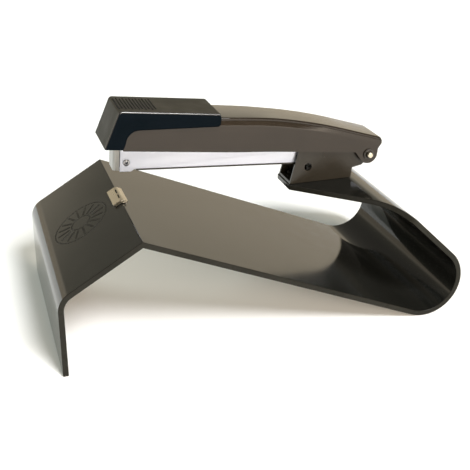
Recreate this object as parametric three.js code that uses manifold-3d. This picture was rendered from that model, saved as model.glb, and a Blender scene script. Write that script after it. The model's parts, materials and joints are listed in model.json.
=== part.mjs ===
// Saddle stapler: a desk stapler head on a wide bent-sheet base, for stapling booklets on the fold.
// Units are millimetres, +Z is up, +X runs from the stapling end to the hinge end, Y is the width.
import * as THREE from 'three';
import { mergeVertices } from 'three/addons/utils/BufferGeometryUtils.js';
import Module from 'manifold-3d';

const wasm = await Module();
wasm.setup();

// ---------------------------------------------------------------- driving dimensions

// base sheet, seen from the side, with x = 0 at the outside of the leg's foot
const sheetWidth = 157.5;
const sheetThickness = 3.8;
const legLean = 0.8;
const legHeight = 55.4;
const legBendRadius = 14.8;
const ridgeX = 56.2;
const ridgeHeight = 88.3;
const uBendRadius = 27.2;
const returnAngle = THREE.MathUtils.degToRad(43.95);
const upperBendRadius = 35.7;
const platformSideMargin = 0.8;
const platformNoseMargin = 0.9;
const flareAngle = THREE.MathUtils.degToRad(43.5);
const bendOverhang = 48.5;

// stapler head: the pivot is the common centre of the magazine and the handle
const driverReach = 185.3;
const pivotAboveRidge = 16.2;
const pivotAbovePlatform = 18.3;
const magazineRestAngle = THREE.MathUtils.degToRad(4.1);
const handleRestAngle = THREE.MathUtils.degToRad(6.6);

// staples
const stapleCrown = 12.7;
const stapleLeg = 6.35;
const stapleWire = 0.55;
const stripLength = 60;

// clearances
const seatGap = 0.3;
const runGap = 0.3;
const slideGap = 0.3;

// pivot pin and its rings
const pinRadius = 2.2;
const pinEndOverhang = 2.6;
const washerRadius = 4;
const washerThickness = 0.8;
const bushRadius = 3.6;

// hinge bracket
const bracketWall = 1.6;
const bracketSideGap = 1.4;
const bracketFrontFoot = 59.7;
const bracketFrontLean = 6.4;
const bracketRearFoot = 11.5;
const bracketRearNotch = 10.6;
const bracketArmDepth = 9.3;
const bracketEarRadius = 6.4;
const bracketHoleRadius = 2.9;
const bracketHoleX = -45.7;
const bracketHoleZ = -6.3;
const screwRadius = 1.5;
const screwHeadRadius = 2.7;
const screwHeadHeight = 1.7;
const screwSpacingY = 12;
const screwFrontX = -52.5;
const screwRearX = -20;
const nutAcrossFlats = 5.5;
const nutHeight = 2.4;

// magazine
const magazineWall = 1.2;
const magazineFloor = 1;
const magazineBottom = -6.6;
const magazineTop = 9.6;
const magazineSetback = 2.8;
const stripSetback = 1;
const staplePlay = 0.65;
const magazineEarRadius = 6.6;
const footDepth = 1.8;
const footLength = 7.8;
const footSlope = 2.6;
const frontPlateWall = 1.2;
const frontPlateDrop = 1;
const frontPlateTop = 11;
const railWall = 0.9;
const railEndGap = 24;
const railEndLength = 7;
const anchorLength = 6;
const plugLength = 5;
const runnerHeight = 1.3;
const runnerInset = 1;
const runnerEnd = 14;
const runnerStart = 1;
const frontRivetRadius = 1.7;
const frontRivetBore = 0.9;
const frontRivetHead = 2.4;
const frontRivetInset = 7.1;
const frontRivetZ = -1.9;
const rodRadius = 1;
const rodRearX = -16;
const pusherLength = 12;
const pusherHeight = 3.4;
const pusherWebHalf = 0.6;
const pusherCollarHalf = 2.1;
const pusherCollarInset = 2;
const saddleX = -73;
const saddleLength = 14;
const saddleWall = 0.9;
const saddleRise = 1.2;
const saddleSkirt = 4;

// handle shell
const handleWall = 1.2;
const handleTop = 25.6;
const handleBottom = 1.2;
const handleFrontHalfWidth = 17.2;
const spacerLength = 2.2;
const taperSetback = 5;
const taperLength = 42;
const crownSetback = 22;
const crownRadius = 390;
const crownEnd = -20.7;
const handleRearX = 9.2;
const handleRearBottom = 8.4;
const handleRearRadius = 2.5;
const lugRadius = 7.1;
const lugStart = -10.5;
const lugNeck = 4.6;

// nose cap
const capSideWall = 2.1;
const capWall = 3.2;
const capFrontWall = 2.3;
const capOverhang = 10.2;
const capNoseDepth = 12.9;
const capNoseBottom = 2.5;
const capFrontSetback = 8.5;
const capLength = 78.5;
const capRearBottom = 19.8;
const capThroatBottom = 16.3;
const capThroatRadius = 9;
const capEdgeRadius = 2.5;

// driver
const bladeThickness = 0.6;
const bladeBottom = -6;
const leafThickness = 0.8;
const leafHalfWidth = 6;
const leafLength = 57.6;
const leafRivetRadius = 1.2;
const leafRivetHead = 2.4;
const leafRivetInset = 6;
const leafRivetPitch = 10;

// springs
const liftSpringRadius = 4;
const liftSpringWire = 0.6;
const liftSpringX = -38;
const liftSpringTurns = 4.5;
const handleSpringRadius = 4;
const handleSpringWire = 0.6;
const handleSpringTurns = 5.5;
const pusherSpringRadius = 1.95;
const pusherSpringWire = 0.3;
const pusherSpringTurns = 16;

// anvil
const anvilLength = 25;
const anvilLeft = 6;
const anvilRight = 3.6;
const anvilWall = 1.1;
const anvilRise = 2.1;
const anvilCrestRadius = 3.4;
const anvilGrooveOffset = -1.4;
const anvilGrooveWidth = 1.7;
const anvilGrooveLength = 6.2;
const anvilGroovePitch = 9;
const anvilGrooveDepth = 0.5;
const shoeThickness = 0.4;
const shoeBendRadius = 0.9;
const shoeOverhang = 0.6;
const shoeSetback = 1;
const anvilRivetRadius = 1.1;
const anvilRivetHead = 2.4;
const anvilRivetHeadHeight = 1;
const anvilSlotToBlade = 0.7;
const strikeTilt = 0.03;
const anvilRivetPitch = 18;

// ---------------------------------------------------------------- values that follow

const halfSheet = sheetWidth / 2;
const anvilGrooveX = ridgeX + anvilGrooveOffset;
const pivotX = anvilGrooveX - anvilSlotToBlade + driverReach * Math.cos(strikeTilt);
const pivotZ = ridgeHeight + pivotAboveRidge;
const platformTop = pivotZ - pivotAbovePlatform;
const baseLength = pivotX + bendOverhang;
const uBendX = baseLength - uBendRadius;
const platformEndX = pivotX - bracketFrontFoot - platformNoseMargin;

const pinHole = pinRadius + runGap;
const magazineInner = stapleCrown / 2 + staplePlay;
const magazineHalfWidth = magazineInner + magazineWall;
const magazineFrontX = -driverReach + magazineSetback;
const frontRivetX = -driverReach + frontRivetInset;
const runnerHalfWidth = magazineHalfWidth - runnerInset;
const stripFrontX = -driverReach + stripSetback;
const stripBottom = magazineBottom + magazineFloor + 0.4;
const crownTop = stripBottom + stapleLeg;
const railTop = crownTop - stapleWire - 0.4;
const railHalfWidth = stapleCrown / 2 - stapleWire - 0.45;
const railFrontX = stripFrontX + 0.4;
const pusherX = stripFrontX + stripLength + seatGap;
const rodZ = (magazineBottom + magazineFloor + railTop - railWall) / 2;
const saddleTop = magazineTop + seatGap + saddleRise;

// The bracket stands outside the magazine, the rings stand outside the bracket, and the handle outside them.
const bracketHalfWidth = magazineHalfWidth + bracketSideGap + bracketWall;
const platformEndHalfWidth = bracketHalfWidth + platformSideMargin;
const handleRearInner = bracketHalfWidth + seatGap + spacerLength + seatGap;
const handleRearHalfWidth = handleRearInner + handleWall;
const washerInner = handleRearHalfWidth + seatGap;
const pinHalfLength = washerInner + washerThickness + pinEndOverhang;

// The cap and the handle's shape are placed from the nose.
const capHalfWidth = handleFrontHalfWidth + seatGap + capSideWall;
const capNoseX = -driverReach - capOverhang;
const capNoseRearX = capNoseX + capNoseDepth;
const capTopFrontX = capNoseX + capFrontSetback;
const capRearX = capNoseX + capLength;
const taperStart = capRearX + taperSetback;
const taperEnd = taperStart + taperLength;
const crownStart = capRearX + crownSetback;
const leafFrontX = -driverReach - bladeThickness / 2;
const leafRearX = leafFrontX + leafLength;
const leafRivetXs = [1, 0].map((i) => leafRearX - leafRivetInset - i * leafRivetPitch);

// The cap's front wall leans back; its inside limits how far forward the shell and the leaf can reach.
const capTop = handleTop + seatGap + capWall;
const capLean = (capTopFrontX - capNoseX) / (capTop - capNoseBottom);
const capFrontInside = (z) => capNoseX + capFrontWall + (z - capNoseBottom) * capLean;
const handleFrontX = capFrontInside(handleTop) + seatGap;

// ---------------------------------------------------------------- geometry helpers

// A closed geometry as a solid that can be joined and cut.
function toSolid(geometry) {
  const bare = geometry.clone();
  bare.deleteAttribute('normal');
  bare.deleteAttribute('uv');
  const merged = mergeVertices(bare, 1e-5);
  const mesh = new wasm.Mesh({
    numProp: 3,
    vertProperties: new Float32Array(merged.attributes.position.array),
    triVerts: new Uint32Array(merged.index.array),
  });
  return new wasm.Manifold(mesh);
}

function toGeometry(solid) {
  const mesh = solid.getMesh();
  const geometry = new THREE.BufferGeometry();
  geometry.setAttribute('position', new THREE.BufferAttribute(mesh.vertProperties, 3));
  geometry.setIndex(new THREE.BufferAttribute(mesh.triVerts, 1));
  geometry.computeVertexNormals();
  return geometry;
}

function cut(geometry, ...tools) {
  let solid = toSolid(geometry);
  for (const tool of tools) {
    solid = solid.subtract(toSolid(tool));
  }
  return toGeometry(solid);
}

function join(geometry, ...others) {
  let solid = toSolid(geometry);
  for (const other of others) {
    solid = solid.add(toSolid(other));
  }
  return toGeometry(solid);
}

function keepInside(geometry, ...limits) {
  let solid = toSolid(geometry);
  for (const limit of limits) {
    solid = solid.intersect(toSolid(limit));
  }
  return toGeometry(solid);
}

function box(x0, x1, y0, y1, z0, z1) {
  const geometry = new THREE.BoxGeometry(x1 - x0, y1 - y0, z1 - z0);
  geometry.translate((x0 + x1) / 2, (y0 + y1) / 2, (z0 + z1) / 2);
  return geometry;
}

// A cylinder along Y, X or Z.
function rod(axis, radius, from, to, a, b, sides = 24) {
  const geometry = new THREE.CylinderGeometry(radius, radius, to - from, sides);
  const middle = (from + to) / 2;
  if (axis === 'y') geometry.translate(a, middle, b);
  if (axis === 'x') geometry.rotateZ(-Math.PI / 2).translate(middle, a, b);
  if (axis === 'z') geometry.rotateX(Math.PI / 2).translate(a, b, middle);
  return geometry;
}

// An outline in the XZ plane, extruded along Y.
function side(shape, y0, y1, curveSegments = 12) {
  const geometry = new THREE.ExtrudeGeometry(shape, { depth: y1 - y0, bevelEnabled: false, curveSegments });
  return geometry.rotateX(Math.PI / 2).translate(0, y1, 0);
}

// An outline in the XY plane, extruded along Z.
function plan(shape, z0, z1, curveSegments = 12) {
  const geometry = new THREE.ExtrudeGeometry(shape, { depth: z1 - z0, bevelEnabled: false, curveSegments });
  return geometry.translate(0, 0, z0);
}

function outline(points) {
  return new THREE.Shape(points.map(([x, y]) => new THREE.Vector2(x, y)));
}

// Points on a circle from one angle to another, both included.
function arcPoints(cx, cy, radius, from, to, steps) {
  const points = [];
  for (let i = 0; i <= steps; i += 1) {
    const angle = from + ((to - from) * i) / steps;
    points.push([cx + radius * Math.cos(angle), cy + radius * Math.sin(angle)]);
  }
  return points;
}

// Replaces the corner b of the path a, b, c with an arc of the given radius.
function roundCorner(a, b, c, radius, steps) {
  const toA = new THREE.Vector2(a[0] - b[0], a[1] - b[1]).normalize();
  const toC = new THREE.Vector2(c[0] - b[0], c[1] - b[1]).normalize();
  const half = Math.acos(toA.dot(toC)) / 2;
  const reach = radius / Math.sin(half);
  const bisector = toA.clone().add(toC).normalize();
  const centre = new THREE.Vector2(b[0], b[1]).addScaledVector(bisector, reach);
  const start = Math.atan2(
    b[1] + (toA.y * radius) / Math.tan(half) - centre.y,
    b[0] + (toA.x * radius) / Math.tan(half) - centre.x,
  );
  const turn = Math.sign(toA.cross(toC)) * (Math.PI - 2 * half);
  return arcPoints(centre.x, centre.y, radius, start, start - turn, steps);
}

// A helical spring standing along Z, with its wire ends cut square.
class Helix extends THREE.Curve {
  constructor(radius, z0, z1, turns) {
    super();
    Object.assign(this, { radius, z0, z1, turns });
  }

  getPoint(t, target = new THREE.Vector3()) {
    const angle = t * this.turns * 2 * Math.PI;
    const z = this.z0 + (this.z1 - this.z0) * t;
    return target.set(this.radius * Math.cos(angle), this.radius * Math.sin(angle), z);
  }
}

function coil(radius, wire, z0, z1, turns, stepsPerTurn = 12, sides = 6) {
  const section = outline(arcPoints(0, 0, wire, 0, 2 * Math.PI * (1 - 1 / sides), sides - 1));
  return new THREE.ExtrudeGeometry(section, {
    steps: Math.round(turns * stepsPerTurn),
    extrudePath: new Helix(radius, z0, z1, turns),
    bevelEnabled: false,
  });
}

// ---------------------------------------------------------------- materials

const makeMaterial = (color, roughness, metalness) =>
  new THREE.MeshStandardMaterial({ color, roughness, metalness });
const paintedSheet = makeMaterial('#4b443c', 0.25, 0.1);
const handlePaint = makeMaterial('#544c42', 0.35, 0.1);
const bracketPaint = makeMaterial('#3b332e', 0.35, 0.1);
const capPlastic = makeMaterial('#101317', 0.3, 0);
const brightSteel = makeMaterial('#dcdee2', 0.25, 0.9);
const nickel = makeMaterial('#cfc8b8', 0.25, 0.9);
const springSteel = makeMaterial('#8d8f92', 0.3, 0.9);
const darkSteel = makeMaterial('#2a2724', 0.4, 0.6);

// ---------------------------------------------------------------- base sheet

// The long panel's top is the tangent from the ridge to the inside of the U bend.
const uBendInner = uBendRadius - sheetThickness;
const ridgeToBend = Math.hypot(uBendX - ridgeX, uBendRadius - ridgeHeight);
const chordAngle = Math.atan2(uBendRadius - ridgeHeight, uBendX - ridgeX);
const panelAngle = chordAngle - Math.asin(uBendInner / ridgeToBend);
const bendStart = panelAngle - Math.PI / 2;
const bendEnd = Math.PI / 2 - returnAngle;
const legTop = [legLean, legHeight];
const ridge = [ridgeX, ridgeHeight];
const frontSlope = Math.atan2(ridgeHeight - legHeight, ridgeX - legLean);

// The line parallel to a-b, one sheet thickness to its right.
function underside(a, b) {
  const length = Math.hypot(b[0] - a[0], b[1] - a[1]);
  const dx = ((b[1] - a[1]) / length) * sheetThickness;
  const dz = (-(b[0] - a[0]) / length) * sheetThickness;
  return [[a[0] + dx, a[1] + dz], [b[0] + dx, b[1] + dz]];
}

function crossing([a, b], [c, d]) {
  const r = [b[0] - a[0], b[1] - a[1]];
  const s = [d[0] - c[0], d[1] - c[1]];
  const t = ((c[0] - a[0]) * s[1] - (c[1] - a[1]) * s[0]) / (r[0] * s[1] - r[1] * s[0]);
  return [a[0] + r[0] * t, a[1] + r[1] * t];
}

// Where the return panel, if it ran on straight, would meet the level z.
function returnAt(radius, z) {
  const x = uBendX + radius * Math.cos(bendEnd);
  const start = uBendRadius + radius * Math.sin(bendEnd);
  return [x - (z - start) / Math.tan(returnAngle), z];
}

const upperBendX = returnAt(uBendRadius, platformTop)[0] - upperBendRadius * Math.tan(returnAngle / 2);

// Where a distance along the sheet, from the platform's end, lies in plan.
function planX(distance) {
  const flat = upperBendX - platformEndX;
  const bend = upperBendRadius * returnAngle;
  const inBend = Math.min(Math.max(distance - flat, 0), bend);
  const beyond = Math.max(distance - flat - bend, 0);
  const onFlat = Math.min(distance, flat);
  const run = upperBendRadius * Math.sin(inBend / upperBendRadius) + beyond * Math.cos(returnAngle);
  return platformEndX + onFlat + run;
}

function baseProfile() {
  const lowestZ = 0;
  const insideLeg = underside([0, lowestZ], legTop);
  const insideSlope = underside(legTop, ridge);
  const bendTop = [
    uBendX + uBendInner * Math.cos(bendStart),
    uBendRadius + uBendInner * Math.sin(bendStart),
  ];
  const insidePanel = underside(ridge, bendTop);
  const innerLegTop = crossing(insideLeg, insideSlope);
  const innerRidge = crossing(insideSlope, insidePanel);
  const innerFoot = crossing(insideLeg, [[0, lowestZ], [1, lowestZ]]);
  const platformBottom = platformTop - sheetThickness;
  const upperInner = returnAt(uBendInner, platformBottom);
  const upperOuter = returnAt(uBendRadius, platformTop);
  return outline([
    [0, lowestZ],
    ...roundCorner([0, lowestZ], legTop, ridge, legBendRadius, 8),
    ridge,
    ...arcPoints(uBendX, uBendRadius, uBendInner, bendStart, bendEnd, 20),
    ...roundCorner(returnAt(uBendInner, 0), upperInner, [platformEndX, platformBottom],
      upperBendRadius - sheetThickness, 8),
    [platformEndX, platformBottom],
    [platformEndX, platformTop],
    ...roundCorner([platformEndX, platformTop], upperOuter, returnAt(uBendRadius, 0), upperBendRadius, 8),
    ...arcPoints(uBendX, uBendRadius, uBendRadius, bendEnd, bendStart, 20),
    innerRidge,
    ...roundCorner(innerRidge, innerLegTop, innerFoot, legBendRadius - sheetThickness, 8),
    innerFoot,
  ]);
}

// The two triangles of sheet that are cut away beside the platform.
function flareCutters() {
  const fullWidthAt = (halfSheet - platformEndHalfWidth) / Math.tan(flareAngle);
  const points = [];
  const steps = 16;
  for (let i = 0; i <= steps; i += 1) {
    const distance = (fullWidthAt * i) / steps;
    points.push([planX(distance), platformEndHalfWidth + distance * Math.tan(flareAngle)]);
  }
  const margin = 10;
  const outside = [
    [planX(fullWidthAt), halfSheet + margin],
    [platformEndX - margin, halfSheet + margin],
    [platformEndX - margin, platformEndHalfWidth],
  ];
  const cutterBottom = platformTop - upperBendRadius * (1 - Math.cos(returnAngle)) - 3 * sheetThickness;
  return [1, -1].map((sign) => {
    const shape = outline([...points, ...outside].map(([x, y]) => [x, sign * y]));
    return plan(shape, cutterBottom, platformTop + margin);
  });
}

const screwXs = [screwFrontX, screwRearX];
const screwPlaces = screwXs.flatMap((x) => [[x, screwSpacingY / 2], [x, -screwSpacingY / 2]]);
const anvilRivetYs = [-anvilRivetPitch / 2, anvilRivetPitch / 2];

function baseSheet() {
  const screwHoles = screwPlaces.map(([x, y]) =>
    rod('z', screwRadius + runGap, platformTop - 2 * sheetThickness, platformTop + 1, pivotX + x, y, 12));
  const rivetHoles = anvilRivetYs.map((y) =>
    rod('z', anvilRivetRadius + runGap, ridgeHeight - 3 * sheetThickness, ridgeHeight + 1, ridgeX, y, 12));
  return cut(side(baseProfile(), -halfSheet, halfSheet), ...flareCutters(), ...screwHoles, ...rivetHoles);
}

// ---------------------------------------------------------------- anvil on the ridge

// A strip that follows both sides of the ridge, from one height above the sheet to another.
function ridgeStrip(low, high, left, right, bendRadius) {
  const at = (along, height) => (along < 0
    ? [ridgeX + along * Math.cos(frontSlope) - height * Math.sin(frontSlope),
      ridgeHeight + along * Math.sin(frontSlope) + height * Math.cos(frontSlope)]
    : [ridgeX + along * Math.cos(panelAngle) - height * Math.sin(panelAngle),
      ridgeHeight + along * Math.sin(panelAngle) + height * Math.cos(panelAngle)]);
  const apex = (height) => {
    const half = (Math.PI - frontSlope + panelAngle) / 2;
    const lean = (frontSlope + panelAngle) / 2;
    const reach = height / Math.sin(half);
    return [ridgeX - reach * Math.sin(lean), ridgeHeight + reach * Math.cos(lean)];
  };
  const top = roundCorner(at(-left, high), apex(high), at(right, high), bendRadius, 6);
  const under = roundCorner(at(right, low), apex(low), at(-left, low), bendRadius - (high - low), 6);
  return outline([at(-left, low), at(-left, high), ...top, at(right, high), at(right, low), ...under]);
}

function anvilPlate() {
  const section = ridgeStrip(anvilRise - anvilWall, anvilRise, anvilLeft, anvilRight, anvilCrestRadius);
  const plate = side(section, -anvilLength / 2, anvilLength / 2);
  const crest = ridgeHeight + anvilRise;
  const grooves = [-1, 1].map((sign) => box(
    anvilGrooveX - anvilGrooveWidth / 2,
    anvilGrooveX + anvilGrooveWidth / 2,
    (sign * anvilGroovePitch) / 2 - anvilGrooveLength / 2,
    (sign * anvilGroovePitch) / 2 + anvilGrooveLength / 2,
    crest - anvilGrooveDepth,
    crest + 1,
  ));
  return cut(plate, ...grooves);
}

function anvilShoe() {
  const reach = anvilLength / 2 + shoeOverhang;
  const left = anvilLeft - shoeSetback;
  const right = anvilRight - shoeOverhang;
  return side(ridgeStrip(seatGap, seatGap + shoeThickness, left, right, shoeBendRadius), -reach, reach);
}

function anvilRivet(y) {
  const headTop = ridgeHeight - 1.6 * sheetThickness;
  const shankTop = ridgeHeight - seatGap;
  const headBottom = headTop - anvilRivetHeadHeight;
  const profile = [
    [0, headBottom],
    [anvilRivetHead, headBottom],
    [anvilRivetHead, headTop],
    [anvilRivetRadius, headTop],
    [anvilRivetRadius, shankTop],
    [0, shankTop],
  ];
  const geometry = new THREE.LatheGeometry(profile.map(([r, z]) => new THREE.Vector2(r, z)), 12);
  return geometry.rotateX(Math.PI / 2).translate(ridgeX, y, 0);
}

// ---------------------------------------------------------------- hinge bracket, in the pivot's frame

const bracketBottom = -pivotAbovePlatform + seatGap;
const bracketFloorTop = bracketBottom + bracketWall;

function hingeBracket() {
  const profile = outline([
    [-bracketFrontFoot, bracketBottom],
    [-bracketRearFoot, bracketBottom],
    [-bracketRearNotch, -bracketArmDepth - 1.3],
    [-bracketEarRadius / 2, -bracketArmDepth],
    ...arcPoints(0, 0, bracketEarRadius, -Math.PI / 2, Math.PI / 2, 12),
    [-bracketFrontFoot + bracketFrontLean, bracketEarRadius],
  ]);
  const inner = bracketHalfWidth - bracketWall;
  const reach = bracketHalfWidth + 1;
  const screwHoles = screwPlaces.map(([x, y]) =>
    rod('z', screwRadius + runGap, bracketBottom - 1, bracketFloorTop + 1, x, y, 12));
  return cut(
    side(profile, -bracketHalfWidth, bracketHalfWidth),
    box(-bracketFrontFoot - 1, bracketEarRadius + 1, -inner, inner, bracketFloorTop, bracketEarRadius + 1),
    rod('y', pinRadius + 0.05, -reach, reach, 0, 0),
    rod('y', bracketHoleRadius, -reach, reach, bracketHoleX, bracketHoleZ, 20),
    ...screwHoles,
  );
}

function bracketScrew(x, y) {
  const headBottom = bracketFloorTop + seatGap;
  const headTop = headBottom + screwHeadHeight;
  const tip = -pivotAbovePlatform - sheetThickness - seatGap - nutHeight - 0.8;
  const profile = [
    [0, tip],
    [screwRadius - 0.4, tip],
    [screwRadius, tip + 0.5],
    [screwRadius, headBottom],
    [screwHeadRadius, headBottom],
    [screwHeadRadius, headTop - 0.6],
    [screwHeadRadius - 0.7, headTop],
    [0, headTop],
  ];
  const geometry = new THREE.LatheGeometry(profile.map(([r, z]) => new THREE.Vector2(r, z)), 12);
  return geometry.rotateX(Math.PI / 2).translate(x, y, 0);
}

function bracketNut(x, y) {
  const top = -pivotAbovePlatform - sheetThickness - seatGap;
  const hexagon = rod('z', nutAcrossFlats / Math.sqrt(3), top - nutHeight, top, x, y, 6);
  return cut(hexagon, rod('z', screwRadius + seatGap, top - nutHeight - 1, top + 1, x, y, 12));
}

// A ring about the pivot axis.
function ring(outer, inner, y0, y1) {
  return cut(rod('y', outer, y0, y1, 0, 0), rod('y', inner, y0 - 1, y1 + 1, 0, 0));
}

function pivotPin() {
  const bevel = 0.5;
  const profile = [
    [0, -pinHalfLength],
    [pinRadius - bevel, -pinHalfLength],
    [pinRadius, -pinHalfLength + bevel],
    [pinRadius, pinHalfLength - bevel],
    [pinRadius - bevel, pinHalfLength],
    [0, pinHalfLength],
  ];
  return new THREE.LatheGeometry(profile.map(([r, y]) => new THREE.Vector2(r, y)), 24);
}

// ---------------------------------------------------------------- magazine, level, about the pivot

function magazineChannel() {
  const rearTop = -magazineEarRadius - 8;
  const footStart = magazineFrontX + footLength;
  const profile = outline([
    [magazineFrontX, magazineBottom - footDepth],
    [footStart, magazineBottom - footDepth],
    [footStart + footSlope, magazineBottom],
    [0, magazineBottom],
    ...arcPoints(0, 0, magazineEarRadius, -Math.PI / 2, Math.PI / 2, 12),
    [rearTop, magazineTop],
    [magazineFrontX, magazineTop],
  ]);
  const reach = magazineHalfWidth + 1;
  const floorTop = magazineBottom + magazineFloor;
  const shell = side(profile, -magazineHalfWidth, magazineHalfWidth);
  return cut(
    shell,
    box(magazineFrontX - 1, magazineEarRadius + 1, -magazineInner, magazineInner, floorTop, magazineTop + 1),
    box(magazineFrontX - 1, footStart + footSlope + 0.5, -magazineInner, magazineInner,
      magazineBottom - footDepth - 1, magazineBottom),
    rod('y', pinHole, -reach, reach, 0, 0),
    rod('y', frontRivetRadius + 0.1, -reach, reach, frontRivetX, frontRivetZ, 16),
  );
}

function frontPlate() {
  const outer = magazineHalfWidth - seatGap;
  const frontX = -driverReach - bladeThickness / 2 - 0.5 - frontPlateWall;
  const bottom = magazineBottom - frontPlateDrop;
  const bend = 2;
  const corner = (sign) => arcPoints(frontX + bend, sign * (outer - bend), bend,
    sign > 0 ? Math.PI : -Math.PI / 2, sign > 0 ? Math.PI / 2 : -Math.PI, 5);
  const rearX = magazineFrontX - seatGap;
  const shape = outline([
    [rearX, -outer],
    [rearX, -outer + frontPlateWall],
    [frontX + frontPlateWall, -outer + frontPlateWall],
    [frontX + frontPlateWall, outer - frontPlateWall],
    [rearX, outer - frontPlateWall],
    [rearX, outer],
    ...corner(1).reverse(),
    ...corner(-1).reverse(),
  ]);
  return plan(shape, bottom, frontPlateTop);
}

function coreRail() {
  const floorTop = magazineBottom + magazineFloor;
  const rearX = -railEndGap;
  const inner = railHalfWidth - railWall;
  const slot = pusherWebHalf + slideGap;
  return cut(
    box(railFrontX, rearX, -railHalfWidth, railHalfWidth, floorTop + seatGap, railTop),
    box(railFrontX - 1, rearX + 1, -inner, inner, floorTop, railTop - railWall),
    box(railFrontX + railEndLength, rearX - railEndLength, -slot, slot, floorTop, railTop + 1),
  );
}

function pusher() {
  const length = pusherLength;
  const outer = magazineInner - slideGap;
  const inner = railHalfWidth + slideGap;
  const rodHole = rodRadius + runGap;
  const collarLow = rodZ - pusherCollarHalf;
  const collarHigh = rodZ + pusherCollarHalf;
  const saddle = cut(
    box(pusherX, pusherX + length, -outer, outer, stripBottom, crownTop + pusherHeight),
    box(pusherX - 1, pusherX + length + 1, -inner, inner, stripBottom - 1, railTop + slideGap),
  );
  const x0 = pusherX + pusherCollarInset;
  const x1 = pusherX + length - pusherCollarInset;
  const web = box(x0, x1, -pusherWebHalf, pusherWebHalf, rodZ, crownTop);
  const collar = box(x0, x1, -pusherCollarHalf, pusherCollarHalf, collarLow, collarHigh);
  return cut(join(saddle, web, collar), rod('x', rodHole, pusherX, pusherX + length, 0, rodZ, 12));
}

function stapleStrip() {
  const half = stapleCrown / 2;
  return cut(
    box(stripFrontX, stripFrontX + stripLength, -half, half, stripBottom, crownTop),
    box(stripFrontX - 1, stripFrontX + stripLength + 1, -half + stapleWire, half - stapleWire,
      stripBottom - 1, crownTop - stapleWire),
  );
}

function railPlug() {
  const half = railHalfWidth - railWall - seatGap;
  const x0 = frontRivetX + frontRivetRadius + 1;
  const floorTop = magazineBottom + magazineFloor;
  return cut(
    box(x0, x0 + plugLength, -half, half, floorTop + seatGap, railTop - railWall - seatGap),
    rod('x', rodRadius + 0.05, x0 + 1.5, x0 + plugLength + 1, 0, rodZ, 12),
  );
}

function guideRod() {
  return rod('x', rodRadius, frontRivetX + frontRivetRadius + 3, rodRearX, 0, rodZ, 12);
}

function springAnchor() {
  const half = magazineInner - seatGap;
  const x0 = -railEndGap + 1;
  return cut(
    box(x0, x0 + anchorLength, -half, half, magazineBottom + magazineFloor + seatGap, crownTop),
    rod('x', rodRadius + 0.05, x0 - 1, x0 + anchorLength + 1, 0, rodZ, 12),
  );
}

// A short eyelet through one wall of the magazine.
function frontRivet(sign) {
  const outside = magazineHalfWidth + seatGap;
  const profile = [
    [frontRivetBore, magazineInner - 0.2],
    [frontRivetRadius, magazineInner - 0.2],
    [frontRivetRadius, outside],
    [frontRivetHead, outside],
    [frontRivetHead, outside + 0.2],
    [frontRivetBore, outside + 0.5],
    [frontRivetBore, magazineInner - 0.2],
  ];
  const geometry = new THREE.LatheGeometry(profile.map(([r, y]) => new THREE.Vector2(r, y)), 16);
  return geometry.rotateX(sign > 0 ? 0 : Math.PI).translate(frontRivetX, 0, frontRivetZ);
}

function runnerStrip() {
  const x0 = magazineFrontX + footLength + footSlope + runnerStart;
  const top = magazineBottom - seatGap;
  return box(x0, -runnerEnd, -runnerHalfWidth, runnerHalfWidth, top - runnerHeight, top);
}

// The saddle over the magazine that the handle's spring stands on.
function springSaddle() {
  const outer = magazineHalfWidth + seatGap + saddleWall;
  const inner = magazineHalfWidth + seatGap;
  const x0 = saddleX - saddleLength / 2;
  const x1 = saddleX + saddleLength / 2;
  return cut(
    box(x0, x1, -outer, outer, magazineTop - saddleSkirt, saddleTop),
    box(x0 - 1, x1 + 1, -inner, inner, magazineTop - saddleSkirt - 1, magazineTop + seatGap),
  );
}

function magazineBush() {
  return ring(bushRadius, pinHole, -magazineInner + seatGap, magazineInner - seatGap);
}

// ---------------------------------------------------------------- handle, level, about the pivot

// The top line: straight, then an arc, then straight down to the rear.
const crownTurn = Math.asin((crownEnd - crownStart) / crownRadius);
const crownDrop = crownRadius * (1 - Math.cos(crownTurn));
const handleRearTop = handleTop - crownDrop - (handleRearX - crownEnd) * Math.tan(crownTurn);

function handleTopPoints(drop, frontX, rearX) {
  const start = Math.PI / 2;
  const centreZ = handleTop - crownRadius;
  const arc = arcPoints(crownStart, centreZ, crownRadius - drop, start, start - crownTurn, 8);
  const rear = handleRearTop - drop / Math.cos(crownTurn) + (handleRearX - rearX) * Math.tan(crownTurn);
  return [[frontX, handleTop - drop], ...arc, [rearX, rear]];
}

// Half the handle's width, less a wall, as an outline seen from above.
function handlePlan(inset, frontX, rearX) {
  const front = handleFrontHalfWidth - inset;
  const rear = handleRearHalfWidth - inset;
  const steps = 8;
  const near = [[frontX, -front]];
  for (let i = 0; i <= steps; i += 1) {
    const t = i / steps;
    const ease = t * t * (3 - 2 * t);
    near.push([taperStart + (taperEnd - taperStart) * t, -front + (front - rear) * ease]);
  }
  near.push([rearX, -rear]);
  const far = near.map(([x, y]) => [x, -y]).reverse();
  return outline([...near, ...far]);
}

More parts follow.
